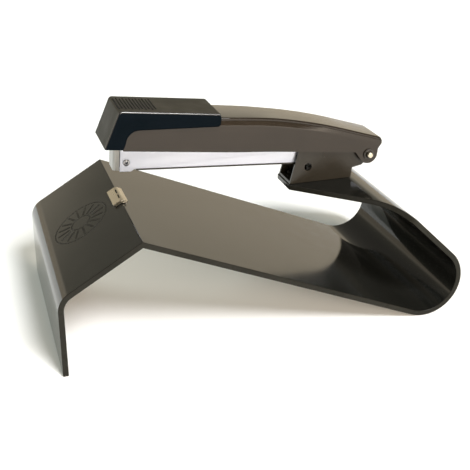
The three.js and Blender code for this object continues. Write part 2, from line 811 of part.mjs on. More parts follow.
function handleShell() {
  const margin = 30;
  const top = handleTopPoints(0, handleFrontX, handleRearX).reverse();
  const rearBottom = [handleRearX, handleRearBottom];
  const sideShape = outline([
    [capNoseRearX + seatGap, handleBottom],
    [lugStart, handleBottom - 0.4],
    ...arcPoints(0, 0, lugRadius, -Math.PI * 0.8, 0, 12),
    [lugRadius, lugNeck],
    rearBottom,
    ...roundCorner(rearBottom, top[0], top[1], handleRearRadius, 5),
    ...top.slice(1),
    [handleFrontX, capNoseBottom + 2],
  ]);
  const outer = keepInside(
    side(sideShape, -handleFrontHalfWidth - 1, handleFrontHalfWidth + 1),
    plan(handlePlan(0, handleFrontX - 1, handleRearX + 1), -margin, margin),
  );
  const hollowFront = handleFrontX - 2;
  const hollowRear = handleRearX + 2;
  const hollowShape = outline([
    [hollowFront, -margin],
    [hollowRear, -margin],
    ...handleTopPoints(handleWall, hollowFront, hollowRear).reverse(),
  ]);
  const hollow = keepInside(
    side(hollowShape, -handleFrontHalfWidth, handleFrontHalfWidth),
    plan(handlePlan(handleWall, hollowFront - 1, hollowRear + 1), -margin - 1, margin),
  );
  const rivetHoles = leafRivetXs.map((x) =>
    rod('z', leafRivetRadius + runGap, handleTop - 4, handleTop + 2, x, 0, 12));
  return cut(outer, hollow, rod('y', pinHole, -margin, margin, 0, 0), ...rivetHoles);
}

function capProfile() {
  const throatX = capNoseRearX + 1.4;
  const throatEnd = throatX + capThroatRadius;
  return outline([
    [capNoseX, capNoseBottom],
    [capNoseRearX, capNoseBottom],
    [throatX, capThroatBottom - capThroatRadius],
    ...arcPoints(throatEnd, capThroatBottom - capThroatRadius, capThroatRadius, Math.PI, Math.PI / 2, 6),
    [capRearX - 1, capRearBottom],
    [capRearX, capRearBottom + 2],
    [capRearX, capTop - capEdgeRadius],
    [capRearX - 1, capTop],
    ...roundCorner([capRearX - 1, capTop], [capTopFrontX, capTop], [capNoseX, capNoseBottom],
      capEdgeRadius, 5),
  ]);
}

function noseCap() {
  const inner = handleFrontHalfWidth + seatGap;
  const cavityTop = handleTop + seatGap;
  const cavity = outline([
    [capFrontInside(capNoseBottom - 5), capNoseBottom - 5],
    [capRearX + 5, capNoseBottom - 5],
    [capRearX + 5, cavityTop],
    [capFrontInside(cavityTop), cavityTop],
  ]);
  return cut(side(capProfile(), -capHalfWidth, capHalfWidth), side(cavity, -inner, inner));
}

const leafTop = handleTop - handleWall - seatGap;
const leafBottom = leafTop - leafThickness;

function driverBlade() {
  const half = stapleCrown / 2;
  return box(leafFrontX, leafFrontX + bladeThickness, -half, half, bladeBottom, leafBottom - seatGap);
}

function driverLeaf() {
  const leaf = box(leafFrontX, leafRearX, -leafHalfWidth, leafHalfWidth, leafBottom, leafTop);
  const holes = leafRivetXs.map((x) =>
    rod('z', leafRivetRadius + runGap, leafBottom - 1, leafTop + 1, x, 0, 12));
  return cut(leaf, ...holes);
}

function leafRivet(x) {
  const headTop = leafBottom - seatGap;
  const profile = [
    [0, headTop - 1],
    [leafRivetHead - 0.6, headTop - 1],
    [leafRivetHead, headTop - 0.4],
    [leafRivetHead, headTop],
    [leafRivetRadius, headTop],
    [leafRivetRadius, handleTop],
    [0, handleTop],
  ];
  const geometry = new THREE.LatheGeometry(profile.map(([r, z]) => new THREE.Vector2(r, z)), 12);
  return geometry.rotateX(Math.PI / 2).translate(x, 0, 0);
}

// ---------------------------------------------------------------- springs

// Height of the magazine's underside above the pivot, at rest, where the lift spring stands.
const runnerBottom = magazineBottom - seatGap - runnerHeight;
const liftSpringTop = -liftSpringX * Math.sin(magazineRestAngle) + runnerBottom * Math.cos(magazineRestAngle)
  - liftSpringRadius * Math.sin(magazineRestAngle) - seatGap - liftSpringWire;

function liftSpring() {
  const bottom = bracketFloorTop + seatGap + liftSpringWire;
  const geometry = coil(liftSpringRadius, liftSpringWire, bottom, liftSpringTop - seatGap, liftSpringTurns);
  return geometry.translate(liftSpringX, 0, 0);
}

function handleSpring() {
  const opening = handleRestAngle - magazineRestAngle;
  const crown = handleTop - handleWall - (saddleX - crownStart) ** 2 / (2 * crownRadius);
  const tilt = handleSpringRadius * Math.sin(opening);
  const top = crown * Math.cos(opening) - saddleX * Math.sin(opening) - tilt;
  const bottom = saddleTop + seatGap + handleSpringWire;
  const geometry = coil(handleSpringRadius, handleSpringWire, bottom, top - seatGap - 3 * handleSpringWire,
    handleSpringTurns);
  return geometry.translate(saddleX, 0, 0);
}

function pusherSpring() {
  const start = pusherX + pusherLength - pusherCollarInset + seatGap + pusherSpringWire;
  const end = -railEndGap + 1 - seatGap - pusherSpringWire;
  const geometry = coil(pusherSpringRadius, pusherSpringWire, start, end, pusherSpringTurns, 8, 5);
  return geometry.rotateY(Math.PI / 2).translate(0, 0, rodZ);
}

// ---------------------------------------------------------------- assembly

// The origin is on the floor, in the middle of the whole length.
const stapler = new THREE.Group();
stapler.position.x = -baseLength / 2;

const pivotFrame = new THREE.Group();
pivotFrame.position.set(pivotX, 0, pivotZ);
stapler.add(pivotFrame);

const magazineFrame = new THREE.Group();
magazineFrame.rotation.y = magazineRestAngle;
pivotFrame.add(magazineFrame);

const handleFrame = new THREE.Group();
handleFrame.rotation.y = handleRestAngle;
pivotFrame.add(handleFrame);

function addPiece(parent, name, geometry, material) {
  const mesh = new THREE.Mesh(geometry, material);
  mesh.name = name;
  parent.add(mesh);
}

addPiece(stapler, 'base_sheet', baseSheet(), paintedSheet);
addPiece(stapler, 'anvil_plate', anvilPlate(), nickel);
addPiece(stapler, 'anvil_shoe', anvilShoe(), nickel);
anvilRivetYs.forEach((y, i) => addPiece(stapler, `anvil_rivet_${i + 1}`, anvilRivet(y), darkSteel));

addPiece(pivotFrame, 'hinge_bracket', hingeBracket(), bracketPaint);
screwPlaces.forEach(([x, y], i) => {
  addPiece(pivotFrame, `bracket_screw_${i + 1}`, bracketScrew(x, y), darkSteel);
  addPiece(pivotFrame, `bracket_nut_${i + 1}`, bracketNut(x, y), brightSteel);
});
addPiece(pivotFrame, 'pivot_pin', pivotPin(), nickel);
for (const [end, sign] of [['near', -1], ['far', 1]]) {
  const onSide = (inner, outer) => (sign > 0 ? [inner, outer] : [-outer, -inner]);
  const washer = onSide(washerInner, washerInner + washerThickness);
  const spacer = onSide(bracketHalfWidth + seatGap, handleRearInner - seatGap);
  addPiece(pivotFrame, `pin_washer_${end}`, ring(washerRadius, pinHole, ...washer), darkSteel);
  addPiece(pivotFrame, `pivot_spacer_${end}`, ring(washerRadius, pinHole, ...spacer), springSteel);
}
addPiece(pivotFrame, 'lift_spring', liftSpring(), springSteel);

addPiece(magazineFrame, 'magazine_channel', magazineChannel(), brightSteel);
addPiece(magazineFrame, 'front_plate', frontPlate(), brightSteel);
addPiece(magazineFrame, 'core_rail', coreRail(), springSteel);
addPiece(magazineFrame, 'rail_plug', railPlug(), springSteel);
addPiece(magazineFrame, 'front_rivet_near', frontRivet(-1), nickel);
addPiece(magazineFrame, 'front_rivet_far', frontRivet(1), nickel);
addPiece(magazineFrame, 'runner_strip', runnerStrip(), darkSteel);
addPiece(magazineFrame, 'staple_strip', stapleStrip(), brightSteel);
addPiece(magazineFrame, 'guide_rod', guideRod(), brightSteel);
addPiece(magazineFrame, 'spring_anchor', springAnchor(), springSteel);
addPiece(magazineFrame, 'spring_saddle', springSaddle(), springSteel);
addPiece(magazineFrame, 'magazine_bush', magazineBush(), springSteel);
addPiece(magazineFrame, 'handle_spring', handleSpring(), springSteel);
addPiece(magazineFrame, 'pusher', pusher(), springSteel);
addPiece(magazineFrame, 'pusher_spring', pusherSpring(), springSteel);

addPiece(handleFrame, 'handle_shell', handleShell(), handlePaint);
addPiece(handleFrame, 'nose_cap', noseCap(), capPlastic);
addPiece(handleFrame, 'driver_blade', driverBlade(), springSteel);
addPiece(handleFrame, 'driver_leaf', driverLeaf(), springSteel);
leafRivetXs.forEach((x, i) => addPiece(handleFrame, `leaf_rivet_${i + 1}`, leafRivet(x), brightSteel));

export default stapler;
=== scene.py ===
"""Booklet stapler: the looks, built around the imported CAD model.

Lengths are in metres. Places come from the CAD boxes. The sizes below belong to the pieces that are made
here: the bent sheet, the handle shell, the springs and the relief.
The handle is drawn level, with the pivot at the origin, and then tilted.
"""

import json
import math

import bmesh
import bpy
from mathutils import Matrix, Vector

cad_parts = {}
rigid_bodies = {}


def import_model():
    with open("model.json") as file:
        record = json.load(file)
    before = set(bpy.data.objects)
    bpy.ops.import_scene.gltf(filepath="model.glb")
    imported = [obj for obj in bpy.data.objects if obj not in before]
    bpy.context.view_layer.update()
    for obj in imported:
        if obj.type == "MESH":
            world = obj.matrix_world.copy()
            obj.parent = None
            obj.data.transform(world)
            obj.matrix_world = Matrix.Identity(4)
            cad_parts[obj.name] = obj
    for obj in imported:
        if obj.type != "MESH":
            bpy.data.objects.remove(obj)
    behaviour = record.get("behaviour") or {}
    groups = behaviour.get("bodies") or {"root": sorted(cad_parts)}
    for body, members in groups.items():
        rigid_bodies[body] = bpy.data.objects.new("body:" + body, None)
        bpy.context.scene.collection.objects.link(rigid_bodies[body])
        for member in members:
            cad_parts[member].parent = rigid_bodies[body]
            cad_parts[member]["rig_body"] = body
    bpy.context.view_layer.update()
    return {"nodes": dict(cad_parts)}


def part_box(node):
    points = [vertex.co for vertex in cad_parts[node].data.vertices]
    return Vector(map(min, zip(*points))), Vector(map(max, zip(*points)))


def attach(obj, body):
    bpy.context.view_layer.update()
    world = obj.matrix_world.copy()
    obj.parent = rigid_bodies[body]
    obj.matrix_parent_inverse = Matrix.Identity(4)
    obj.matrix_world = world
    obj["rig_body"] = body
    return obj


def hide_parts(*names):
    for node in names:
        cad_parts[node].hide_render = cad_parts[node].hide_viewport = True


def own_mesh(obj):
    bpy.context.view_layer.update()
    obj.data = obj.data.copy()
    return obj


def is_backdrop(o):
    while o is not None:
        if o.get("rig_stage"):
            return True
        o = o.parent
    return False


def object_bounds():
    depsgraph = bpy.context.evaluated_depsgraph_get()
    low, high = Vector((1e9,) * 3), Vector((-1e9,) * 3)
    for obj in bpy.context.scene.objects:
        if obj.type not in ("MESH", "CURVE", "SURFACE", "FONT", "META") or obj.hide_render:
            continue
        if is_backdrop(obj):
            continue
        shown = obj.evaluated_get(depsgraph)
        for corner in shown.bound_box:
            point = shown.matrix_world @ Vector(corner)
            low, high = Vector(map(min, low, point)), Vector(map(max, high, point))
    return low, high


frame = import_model()
MM = 0.001

# ---------------------------------------------------------------- sizes

GAP = 0.3 * MM

SHEET_THICKNESS = 3.8 * MM
SHEET_EDGE = 0.55 * MM
LEG_LEAN = 0.8 * MM
LEG_HEIGHT = 55.4 * MM
LEG_BEND = 14.8 * MM
RIDGE_OUTER = 1.0 * MM
RIDGE_INNER = 0.6 * MM
U_BEND = 27.2 * MM
RETURN_ANGLE = math.radians(43.95)
UPPER_BEND = 35.7 * MM
PLATFORM_MARGIN = 0.9 * MM
PLATFORM_HALF_WIDTH = 12 * MM
FLARE_ANGLE = math.radians(43.5)
FLARE_ROUNDING = 9 * MM
LONGEST_STRETCH = 6 * MM
SCREW_HOLE_RADIUS = 1.8 * MM
RIVET_HOLE_RADIUS = 1.4 * MM
CUT_EDGE_FACING = 0.45

MAGAZINE_ANGLE = math.radians(4.1)
HANDLE_ANGLE = math.radians(6.6)

HANDLE_WALL = 1.2 * MM
HANDLE_TOP = 25.6 * MM
HANDLE_BOTTOM = 1.2 * MM
HANDLE_FRONT_HALF = 17.2 * MM
HANDLE_REAR_HALF = 15.2 * MM
TAPER_START = -112 * MM
TAPER_LENGTH = 42 * MM
CROWN_START = -95 * MM
CROWN_END = -20.7 * MM
CROWN_RADIUS = 390 * MM
LUG_RADIUS = 7.1 * MM
LUG_START = -10.5 * MM
LUG_TANGENT = 0.2 * math.pi
LUG_REAR_SHARE = 0.995
LUG_NECK = 4.6 * MM
PIN_HOLE_RADIUS = 2.5 * MM
SHOULDER_DEPTH = 5 * MM
SHOULDER_STEP = 1 * MM
SHOULDER_LEAN = 0.75 * MM
SHOULDER_LEAN_REAR = 0.25
SHOULDER_FADE_START = -75 * MM
SHOULDER_FADE_LENGTH = 60 * MM
GROOVE_DEPTH = 0.5 * MM
GROOVE_HEIGHT = 0.7 * MM
TOP_FILLET = 1 * MM
TOP_FILLET_INSIDE = 0.4 * MM
TOP_CROWN = 0.15 * MM
STATION_STEP = 3 * MM
HANDLE_FRONT = -185.2 * MM
NOSE_CUT_LENGTH = 3 * MM
NOSE_CUT_SLOPE = 1.1
HANDLE_REAR = 9.2 * MM
HANDLE_REAR_BOTTOM = 8.4 * MM
HANDLE_REAR_RADIUS = 2.5 * MM

CAP_TOP_FRONT = -187 * MM
GRIP_LENGTH = 27 * MM
GRIP_WIDTH = 26 * MM
GRIP_COLUMNS = 12
GRIP_ROWS = 9
GRIP_HEIGHT = 0.36 * MM
RIB_LENGTH_SHARE = 0.62
RIB_WIDTH_SHARE = 0.66

ROSETTE_RADIUS = 21 * MM
ROSETTE_INNER_SHARE = 0.36
ROSETTE_HEIGHT = 0.12 * MM
RING_DASHES = 48
RING_DASH_SHARE = 0.8
RING_WIDTH = 1.1 * MM
ROSETTE_PETALS = 16
PETAL_MIDDLE_SHARE = 0.67
PETAL_LENGTH_SHARE = 0.46
PETAL_WIDTH = 1.8 * MM

ANVIL_GROOVE_OFFSET = -1.4 * MM
ANVIL_GROOVE_HALF_WIDTH = 0.9 * MM
ANVIL_GROOVE_HALF_LENGTH = 3.15 * MM
ANVIL_GROOVE_PITCH = 9 * MM

# Each coil's radius to the middle of the wire, the wire's radius and the count of turns.
LIFT_COIL = (4 * MM, 0.6 * MM, 4.5)
HANDLE_COIL = (4 * MM, 0.6 * MM, 5.5)
PUSHER_COIL = (1.95 * MM, 0.3 * MM, 30)
HANDLE_COIL_PLAY = 3.6 * MM
COIL_STEPS = 24
WIRE_SIDES = 8
CLOSED_TURNS = 0.75
CLOSED_PITCH = 0.45

TURNED_STEPS = 40
TURNED_EDGE = 0.08 * MM
RECESS_LENGTH = 3.2 * MM
RECESS_WIDTH = 0.75 * MM
RECESS_DEPTH = 1 * MM
RECESS_TURN = math.pi / 5

# Vertices closer than this are one vertex.
WELD = 0.002 * MM

# ---------------------------------------------------------------- places, from the frame

sheet_low, sheet_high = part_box("base_sheet")
bracket_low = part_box("hinge_bracket")[0]


def middle_of(node):
    low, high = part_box(node)
    return (low + high) / 2


pivot = middle_of("pivot_pin")
ridge = (middle_of("anvil_rivet_1").x, sheet_high.z)
half_width = sheet_high.y
platform_top = bracket_low.z - GAP
platform_end = bracket_low.x - PLATFORM_MARGIN


def level_frame(angle):
    """A level frame about the pivot, tilted by angle so that a positive angle raises the nose."""
    return Matrix.Translation(pivot) @ Matrix.Rotation(angle, 4, "Y")


HANDLE_FRAME = level_frame(HANDLE_ANGLE)
MAGAZINE_FRAME = level_frame(MAGAZINE_ANGLE)

# ---------------------------------------------------------------- mesh helpers


def add_object(name, data):
    obj = bpy.data.objects.new(name, data)
    bpy.context.scene.collection.objects.link(obj)
    return obj


def mesh_object(name, bm, material, smooth_angle=35):
    """A finished bmesh as an object with clean shading."""
    bmesh.ops.recalc_face_normals(bm, faces=bm.faces)
    mesh = bpy.data.meshes.new(name)
    bm.to_mesh(mesh)
    bm.free()
    obj = add_object(name, mesh)
    finish_mesh(obj, material, smooth_angle)
    return obj


def finish_mesh(obj, material, smooth_angle=35):
    """One material, smooth shading up to smooth_angle degrees, and normals weighted by face area."""
    mesh = obj.data
    mesh.materials.clear()
    mesh.materials.append(material)
    mesh.shade_smooth()
    mesh.set_sharp_from_angle(angle=math.radians(smooth_angle))
    weighted = obj.modifiers.new("weighted_normals", "WEIGHTED_NORMAL")
    weighted.mode = "FACE_AREA"
    weighted.keep_sharp = True


def paint_faces(obj, material, chosen):
    """Gives a second material to the faces that chosen picks by their centre and normal."""
    obj.data.materials.append(material)
    index = len(obj.data.materials) - 1
    for polygon in obj.data.polygons:
        if chosen(polygon.center, polygon.normal):
            polygon.material_index = index


def apply_modifiers(obj):
    depsgraph = bpy.context.evaluated_depsgraph_get()
    mesh = bpy.data.meshes.new_from_object(obj.evaluated_get(depsgraph))
    obj.modifiers.clear()
    obj.data = mesh


def cut_away(obj, cutters):
    """Cuts closed bmeshes out of an object and removes them."""
    for cutter in cutters:
        mesh = bpy.data.meshes.new("cutter")
        cutter.to_mesh(mesh)
        cutter.free()
        tool = add_object("cutter", mesh)
        boolean = obj.modifiers.new("cut", "BOOLEAN")
        boolean.object = tool
        boolean.operation = "DIFFERENCE"
        boolean.solver = "EXACT"
        apply_modifiers(obj)
        bpy.data.objects.remove(tool)


def cylinder(radius, depth, matrix, sides=32):
    bm = bmesh.new()
    bmesh.ops.create_cone(bm, cap_ends=True, segments=sides, radius1=radius, radius2=radius,
                          depth=depth, matrix=matrix)
    return bm


def bridge_rings(bm, rings):
    """Joins rings of vertices, each a closed loop of the same count, into a tube with closed ends."""
    for first, second in zip(rings, rings[1:]):
        count = len(first)
        for i in range(count):
            j = (i + 1) % count
            bm.faces.new((first[i], first[j], second[j], second[i]))
    bm.faces.new(rings[0])
    bm.faces.new(list(reversed(rings[-1])))


def round_edges(obj, width, segments, angle):
    """Rounds the edges that turn by more than angle degrees."""
    rounding = obj.modifiers.new("rounding", "BEVEL")
    rounding.width = width
    rounding.segments = segments
    rounding.limit_method = "ANGLE"
    rounding.angle_limit = math.radians(angle)
    rounding.miter_outer = "MITER_ARC"
    rounding.use_clamp_overlap = True
    apply_modifiers(obj)


def refine(node, name, material, bevel):
    """A CAD node's shape as a fresh mesh whose sharp edges are rounded."""
    source = frame["nodes"][node]
    bm = bmesh.new()
    bm.from_mesh(source.data)
    bmesh.ops.remove_doubles(bm, verts=bm.verts, dist=WELD)
    bmesh.ops.dissolve_limit(bm, angle_limit=math.radians(1), verts=bm.verts, edges=bm.edges)
    obj = mesh_object(name, bm, material)
    obj.modifiers.clear()
    round_edges(obj, bevel, segments=3, angle=28)
    finish_mesh(obj, material)
    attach(obj, source["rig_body"])
    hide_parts(node)
    return obj


# ---------------------------------------------------------------- materials

# The part of a noise texture's range that is spread over the whole of a value or colour.
NOISE_LOW = 0.3
NOISE_HIGH = 0.7


def new_material(name):
    material = bpy.data.materials.new(name)
    material.use_nodes = True
    nodes = material.node_tree.nodes
    return material, nodes, material.node_tree.links, nodes["Principled BSDF"]


def noise_node(nodes, links, scale, detail=3.0, stretch=None):
    """A noise texture over object coordinates, stretched along an axis if asked."""
    coords = nodes.new("ShaderNodeTexCoord")
    texture = nodes.new("ShaderNodeTexNoise")
    texture.inputs["Scale"].default_value = scale
    texture.inputs["Detail"].default_value = detail
    if stretch:
        mapping = nodes.new("ShaderNodeMapping")
        mapping.inputs["Scale"].default_value = stretch
        links.new(coords.outputs["Object"], mapping.inputs["Vector"])
        links.new(mapping.outputs["Vector"], texture.inputs["Vector"])
    else:
        links.new(coords.outputs["Object"], texture.inputs["Vector"])
    return texture


def vary(nodes, links, texture, low, high, target):
    """Spreads a texture's grey value from low to high and feeds it to a socket."""
    spread = nodes.new("ShaderNodeMapRange")
    spread.inputs["From Min"].default_value = NOISE_LOW
    spread.inputs["From Max"].default_value = NOISE_HIGH
    spread.inputs["To Min"].default_value = low
    spread.inputs["To Max"].default_value = high
    links.new(texture.outputs["Fac"], spread.inputs["Value"])
    links.new(spread.outputs["Result"], target)


def vary_colour(nodes, links, texture, dark, light, target):
    """Spreads a texture's grey value from a dark colour to a light one and feeds it to a socket."""
    ramp = nodes.new("ShaderNodeValToRGB")
    ramp.color_ramp.elements[0].position = NOISE_LOW
    ramp.color_ramp.elements[0].color = (*dark, 1)
    ramp.color_ramp.elements[1].position = NOISE_HIGH
    ramp.color_ramp.elements[1].color = (*light, 1)
    links.new(texture.outputs["Fac"], ramp.inputs["Fac"])
    links.new(ramp.outputs["Color"], target)


def add_bump(nodes, links, shader, texture, strength, distance):
    bump = nodes.new("ShaderNodeBump")
    bump.inputs["Strength"].default_value = strength
    bump.inputs["Distance"].default_value = distance
    links.new(texture.outputs["Fac"], bump.inputs["Height"])
    links.new(bump.outputs["Normal"], shader.inputs["Normal"])


def paint(name, dark, light, roughness, peel, specular=0.5):
    """Sprayed paint: a faint mottle in colour and gloss, and a fine orange peel."""
    material, nodes, links, shader = new_material(name)
    shader.inputs["Specular IOR Level"].default_value = specular
    mottle = noise_node(nodes, links, 35, 4)
    vary_colour(nodes, links, mottle, dark, light, shader.inputs["Base Color"])
    patches = noise_node(nodes, links, 90, 2)
    vary(nodes, links, patches, roughness * 0.85, roughness * 1.15, shader.inputs["Roughness"])
    grain = noise_node(nodes, links, 900, 2)
    add_bump(nodes, links, shader, grain, peel, 0.02 * MM)
    return material


def metal(name, dark, light, roughness, brush, scratch=0.3):
    """Plated steel with fine drawing lines; brush is how the lines are stretched."""
    material, nodes, links, shader = new_material(name)
    shader.inputs["Metallic"].default_value = 1
    tone = noise_node(nodes, links, 30, 3)
    vary_colour(nodes, links, tone, dark, light, shader.inputs["Base Color"])
    lines = noise_node(nodes, links, 1, 2, brush)
    vary(nodes, links, lines, roughness * 0.8, roughness * 1.25, shader.inputs["Roughness"])
    add_bump(nodes, links, shader, lines, scratch, 0.01 * MM)
    return material


def moulding(name, dark, light, roughness, grain_scale, grain_strength, specular):
    """Moulded plastic with a fine even grain."""
    material, nodes, links, shader = new_material(name)
    shader.inputs["Specular IOR Level"].default_value = specular
    tone = noise_node(nodes, links, 60, 3)
    vary_colour(nodes, links, tone, dark, light, shader.inputs["Base Color"])
    vary(nodes, links, tone, roughness * 0.85, roughness * 1.15, shader.inputs["Roughness"])
    grain = noise_node(nodes, links, grain_scale, 3)
    add_bump(nodes, links, shader, grain, grain_strength, 0.05 * MM)
    return material


base_paint = paint("base_paint", (0.0075, 0.0078, 0.0068), (0.0095, 0.0098, 0.0085), 0.11, 0.06, 0.4)
edge_paint = paint("edge_paint", (0.0085, 0.0085, 0.0070), (0.012, 0.012, 0.010), 0.3, 0.1, 0.12)
relief_paint = paint("relief_paint", (0.007, 0.007, 0.006), (0.010, 0.010, 0.008), 0.5, 0.1, 0.2)
handle_paint = paint("handle_paint", (0.0100, 0.0072, 0.0046), (0.0126, 0.0092, 0.0062), 0.19, 0.15, 0.2)
handle_shader = handle_paint.node_tree.nodes["Principled BSDF"]
handle_shader.inputs["Coat Weight"].default_value = 0.5
handle_shader.inputs["Coat Roughness"].default_value = 0.12
bracket_paint = paint("bracket_paint", (0.011, 0.0095, 0.007), (0.0145, 0.0125, 0.0095), 0.24, 0.2, 0.4)
cap_gloss = moulding("cap_gloss", (0.001, 0.0025, 0.004), (0.0015, 0.003, 0.005), 0.09, 500, 0.02, 0.03)
# A lighter, shinier copy of the cap plastic for the bevel along the cap's top edge: a painted highlight.
cap_edge_painted_highlight = moulding("cap_edge_painted_highlight", (0.02, 0.02, 0.02), (0.025, 0.025, 0.025), 0.14, 500, 0.02, 0.6)
cap_matt = moulding("cap_matt", (0.024, 0.0225, 0.017), (0.030, 0.028, 0.022), 0.5, 1500, 0.5, 0.12)
bright_steel = metal("bright_steel", (0.60, 0.62, 0.70), (0.66, 0.68, 0.76), 0.36, (6, 300, 300), 0.05)
# A darker copy of the bright steel for the magazine's front plate: painted shade for its recessed place.
plate_steel_painted_shade = metal("plate_steel_painted_shade", (0.27, 0.27, 0.26), (0.34, 0.34, 0.32), 0.34, (300, 300, 10), 0.1)
nickel = metal("nickel", (0.66, 0.59, 0.47), (0.76, 0.69, 0.56), 0.28, (300, 60, 300), 0.15)
spring_steel = metal("spring_steel", (0.30, 0.30, 0.31), (0.40, 0.40, 0.41), 0.3, (400, 400, 400))
dark_steel = paint("dark_steel", (0.012, 0.011, 0.010), (0.02, 0.018, 0.016), 0.35, 0.2)
# Painted shade: a near-black paint for the inside of the anvil's grooves, in place of the shade that
# falls in them.
anvil_groove_painted_shade = paint("anvil_groove_painted_shade", (0.004, 0.004, 0.003), (0.006, 0.006, 0.005), 0.6, 0.2, 0.1)

# ---------------------------------------------------------------- base sheet


def direction(angle):
    return Vector((math.cos(angle), math.sin(angle)))


def fillet(before, corner, after, radius):
    """Centre, first angle and last angle of the arc that rounds a corner, for its outer side."""
    to_before = (before - corner).normalized()
    to_after = (after - corner).normalized()
    half = to_before.angle(to_after) / 2
    centre = corner + (to_before + to_after).normalized() * (radius / math.sin(half))
    reach = radius / math.tan(half)
    first = corner + to_before * reach - centre
    last = corner + to_after * reach - centre
    return centre, math.atan2(first.y, first.x), math.atan2(last.y, last.x)


class SheetPath:
    """The two faces of the bent sheet, station by station, from the foot to the platform's end.

    face_a is the outside of the leg, the top of the panels, the inside of the U bend and the platform's
    underside; face_b is the other one. along is the distance on face_b from the start.
    """

    def __init__(self):
        self.face_a = []
        self.face_b = []

    def add(self, a, b):
        self.face_a.append(Vector(a))
        self.face_b.append(Vector(b))

    def arc(self, centre_a, radius_a, centre_b, radius_b, first, last, steps):
        for i in range(steps + 1):
            u = direction(first + (last - first) * i / steps)
            self.add(centre_a + u * radius_a, centre_b + u * radius_b)

    def split(self, longest):
        """Adds stations so that no stretch is longer than longest."""
        face_a, face_b = [self.face_a[0]], [self.face_b[0]]
        for i in range(1, len(self.face_a)):
            stretch = (self.face_b[i] - self.face_b[i - 1]).length
            parts = max(1, math.ceil(stretch / longest))
            for k in range(1, parts + 1):
                face_a.append(self.face_a[i - 1].lerp(self.face_a[i], k / parts))
                face_b.append(self.face_b[i - 1].lerp(self.face_b[i], k / parts))
        self.face_a, self.face_b = face_a, face_b


def sheet_path():
    path = SheetPath()
    t = SHEET_THICKNESS
    foot = Vector((sheet_low.x, 0))
    knee = Vector((sheet_low.x + LEG_LEAN, LEG_HEIGHT))
    top = Vector(ridge)
    inner = U_BEND - t
    centre = Vector((sheet_high.x - U_BEND, U_BEND))
    to_centre = centre - top
    panel = math.atan2(to_centre.y, to_centre.x) - math.asin(inner / to_centre.length)
    panel_end = centre + direction(panel - math.pi / 2) * inner
    slope = math.atan2(top.y - knee.y, top.x - knee.x)

    leg = (knee - foot).normalized()
    path.add(foot, foot + Vector((leg.y, -leg.x)) * t)
    bend, first, last = fillet(foot, knee, top, LEG_BEND)
    path.arc(bend, LEG_BEND, bend, LEG_BEND - t, first, last, 16)

    # The ridge is sharp outside and has a small fillet inside, each about its own centre.
    outer_centre, first, last = fillet(knee, top, panel_end, RIDGE_OUTER)
    half = (math.pi - slope + panel) / 2
    lean = direction((first + last) / 2)
    inner_corner = top - lean * (t / math.sin(half))
    inner_centre = inner_corner - lean * (RIDGE_INNER / math.sin(half))
    path.arc(outer_centre, RIDGE_OUTER, inner_centre, RIDGE_INNER, first, last, 6)

    path.arc(centre, inner, centre, U_BEND, panel - math.pi / 2, math.pi / 2 - RETURN_ANGLE, 48)
    outward = direction(math.pi / 2 - RETURN_ANGLE)
    outer_end = centre + outward * U_BEND
    corner_x = outer_end.x - (platform_top - outer_end.y) / math.tan(RETURN_ANGLE)
    upper = Vector((corner_x - UPPER_BEND * math.tan(RETURN_ANGLE / 2), platform_top - UPPER_BEND))
    path.arc(upper, UPPER_BEND - t, upper, UPPER_BEND, math.pi / 2 - RETURN_ANGLE, math.pi / 2, 22)
    path.add((platform_end, platform_top - t), (platform_end, platform_top))
    return path


def flare_half_width(distance):
    """Half the sheet's width at a distance from the platform's end, with the outer corner rounded."""
    slope = math.tan(FLARE_ANGLE)
    full_at = (half_width - PLATFORM_HALF_WIDTH) / slope
    tangent = FLARE_ROUNDING * math.tan(FLARE_ANGLE / 2)
    arc_start = full_at - tangent * math.cos(FLARE_ANGLE)
    arc_end = full_at + tangent
    if distance <= arc_start:
        return PLATFORM_HALF_WIDTH + distance * slope
    if distance >= arc_end:
        return half_width
    return half_width - FLARE_ROUNDING + math.sqrt(FLARE_ROUNDING ** 2 - (arc_end - distance) ** 2)


def sheet_ring(bm, a, b, half, inset):
    """A ring round the sheet at one station: a rectangle with rounded corners, drawn in by inset."""
    across = b - a
    thickness = across.length - 2 * inset
    unit = across.normalized()
    edge = min(SHEET_EDGE, thickness / 2)
    width = half - inset
    ring = []
    steps = 4
    corners = (
        (width, 0, 1, 1), (width, thickness, 1, -1),
        (-width, thickness, -1, -1), (-width, 0, -1, 1),
    )
    for y, depth, side, inward in corners:
        for k in range(steps + 1):
            turn = math.pi / 2 * k / steps
            if side * inward < 0:
                turn = math.pi / 2 - turn
            dy = edge * (1 - math.sin(turn))
            dd = edge * (1 - math.cos(turn))
            place = a + unit * (inset + depth + inward * dd)
            ring.append(bm.verts.new((place.x, y - side * dy, place.y)))
    return ring


def on_cut_edge(centre, normal):
    return abs(normal.y) > CUT_EDGE_FACING


def hole_cutter(node, radius, length, height):
    """An upright cylinder through the middle of a node's box in plan."""
    place = middle_of(node)
    return cylinder(radius, length, Matrix.Translation((place.x, place.y, height)))


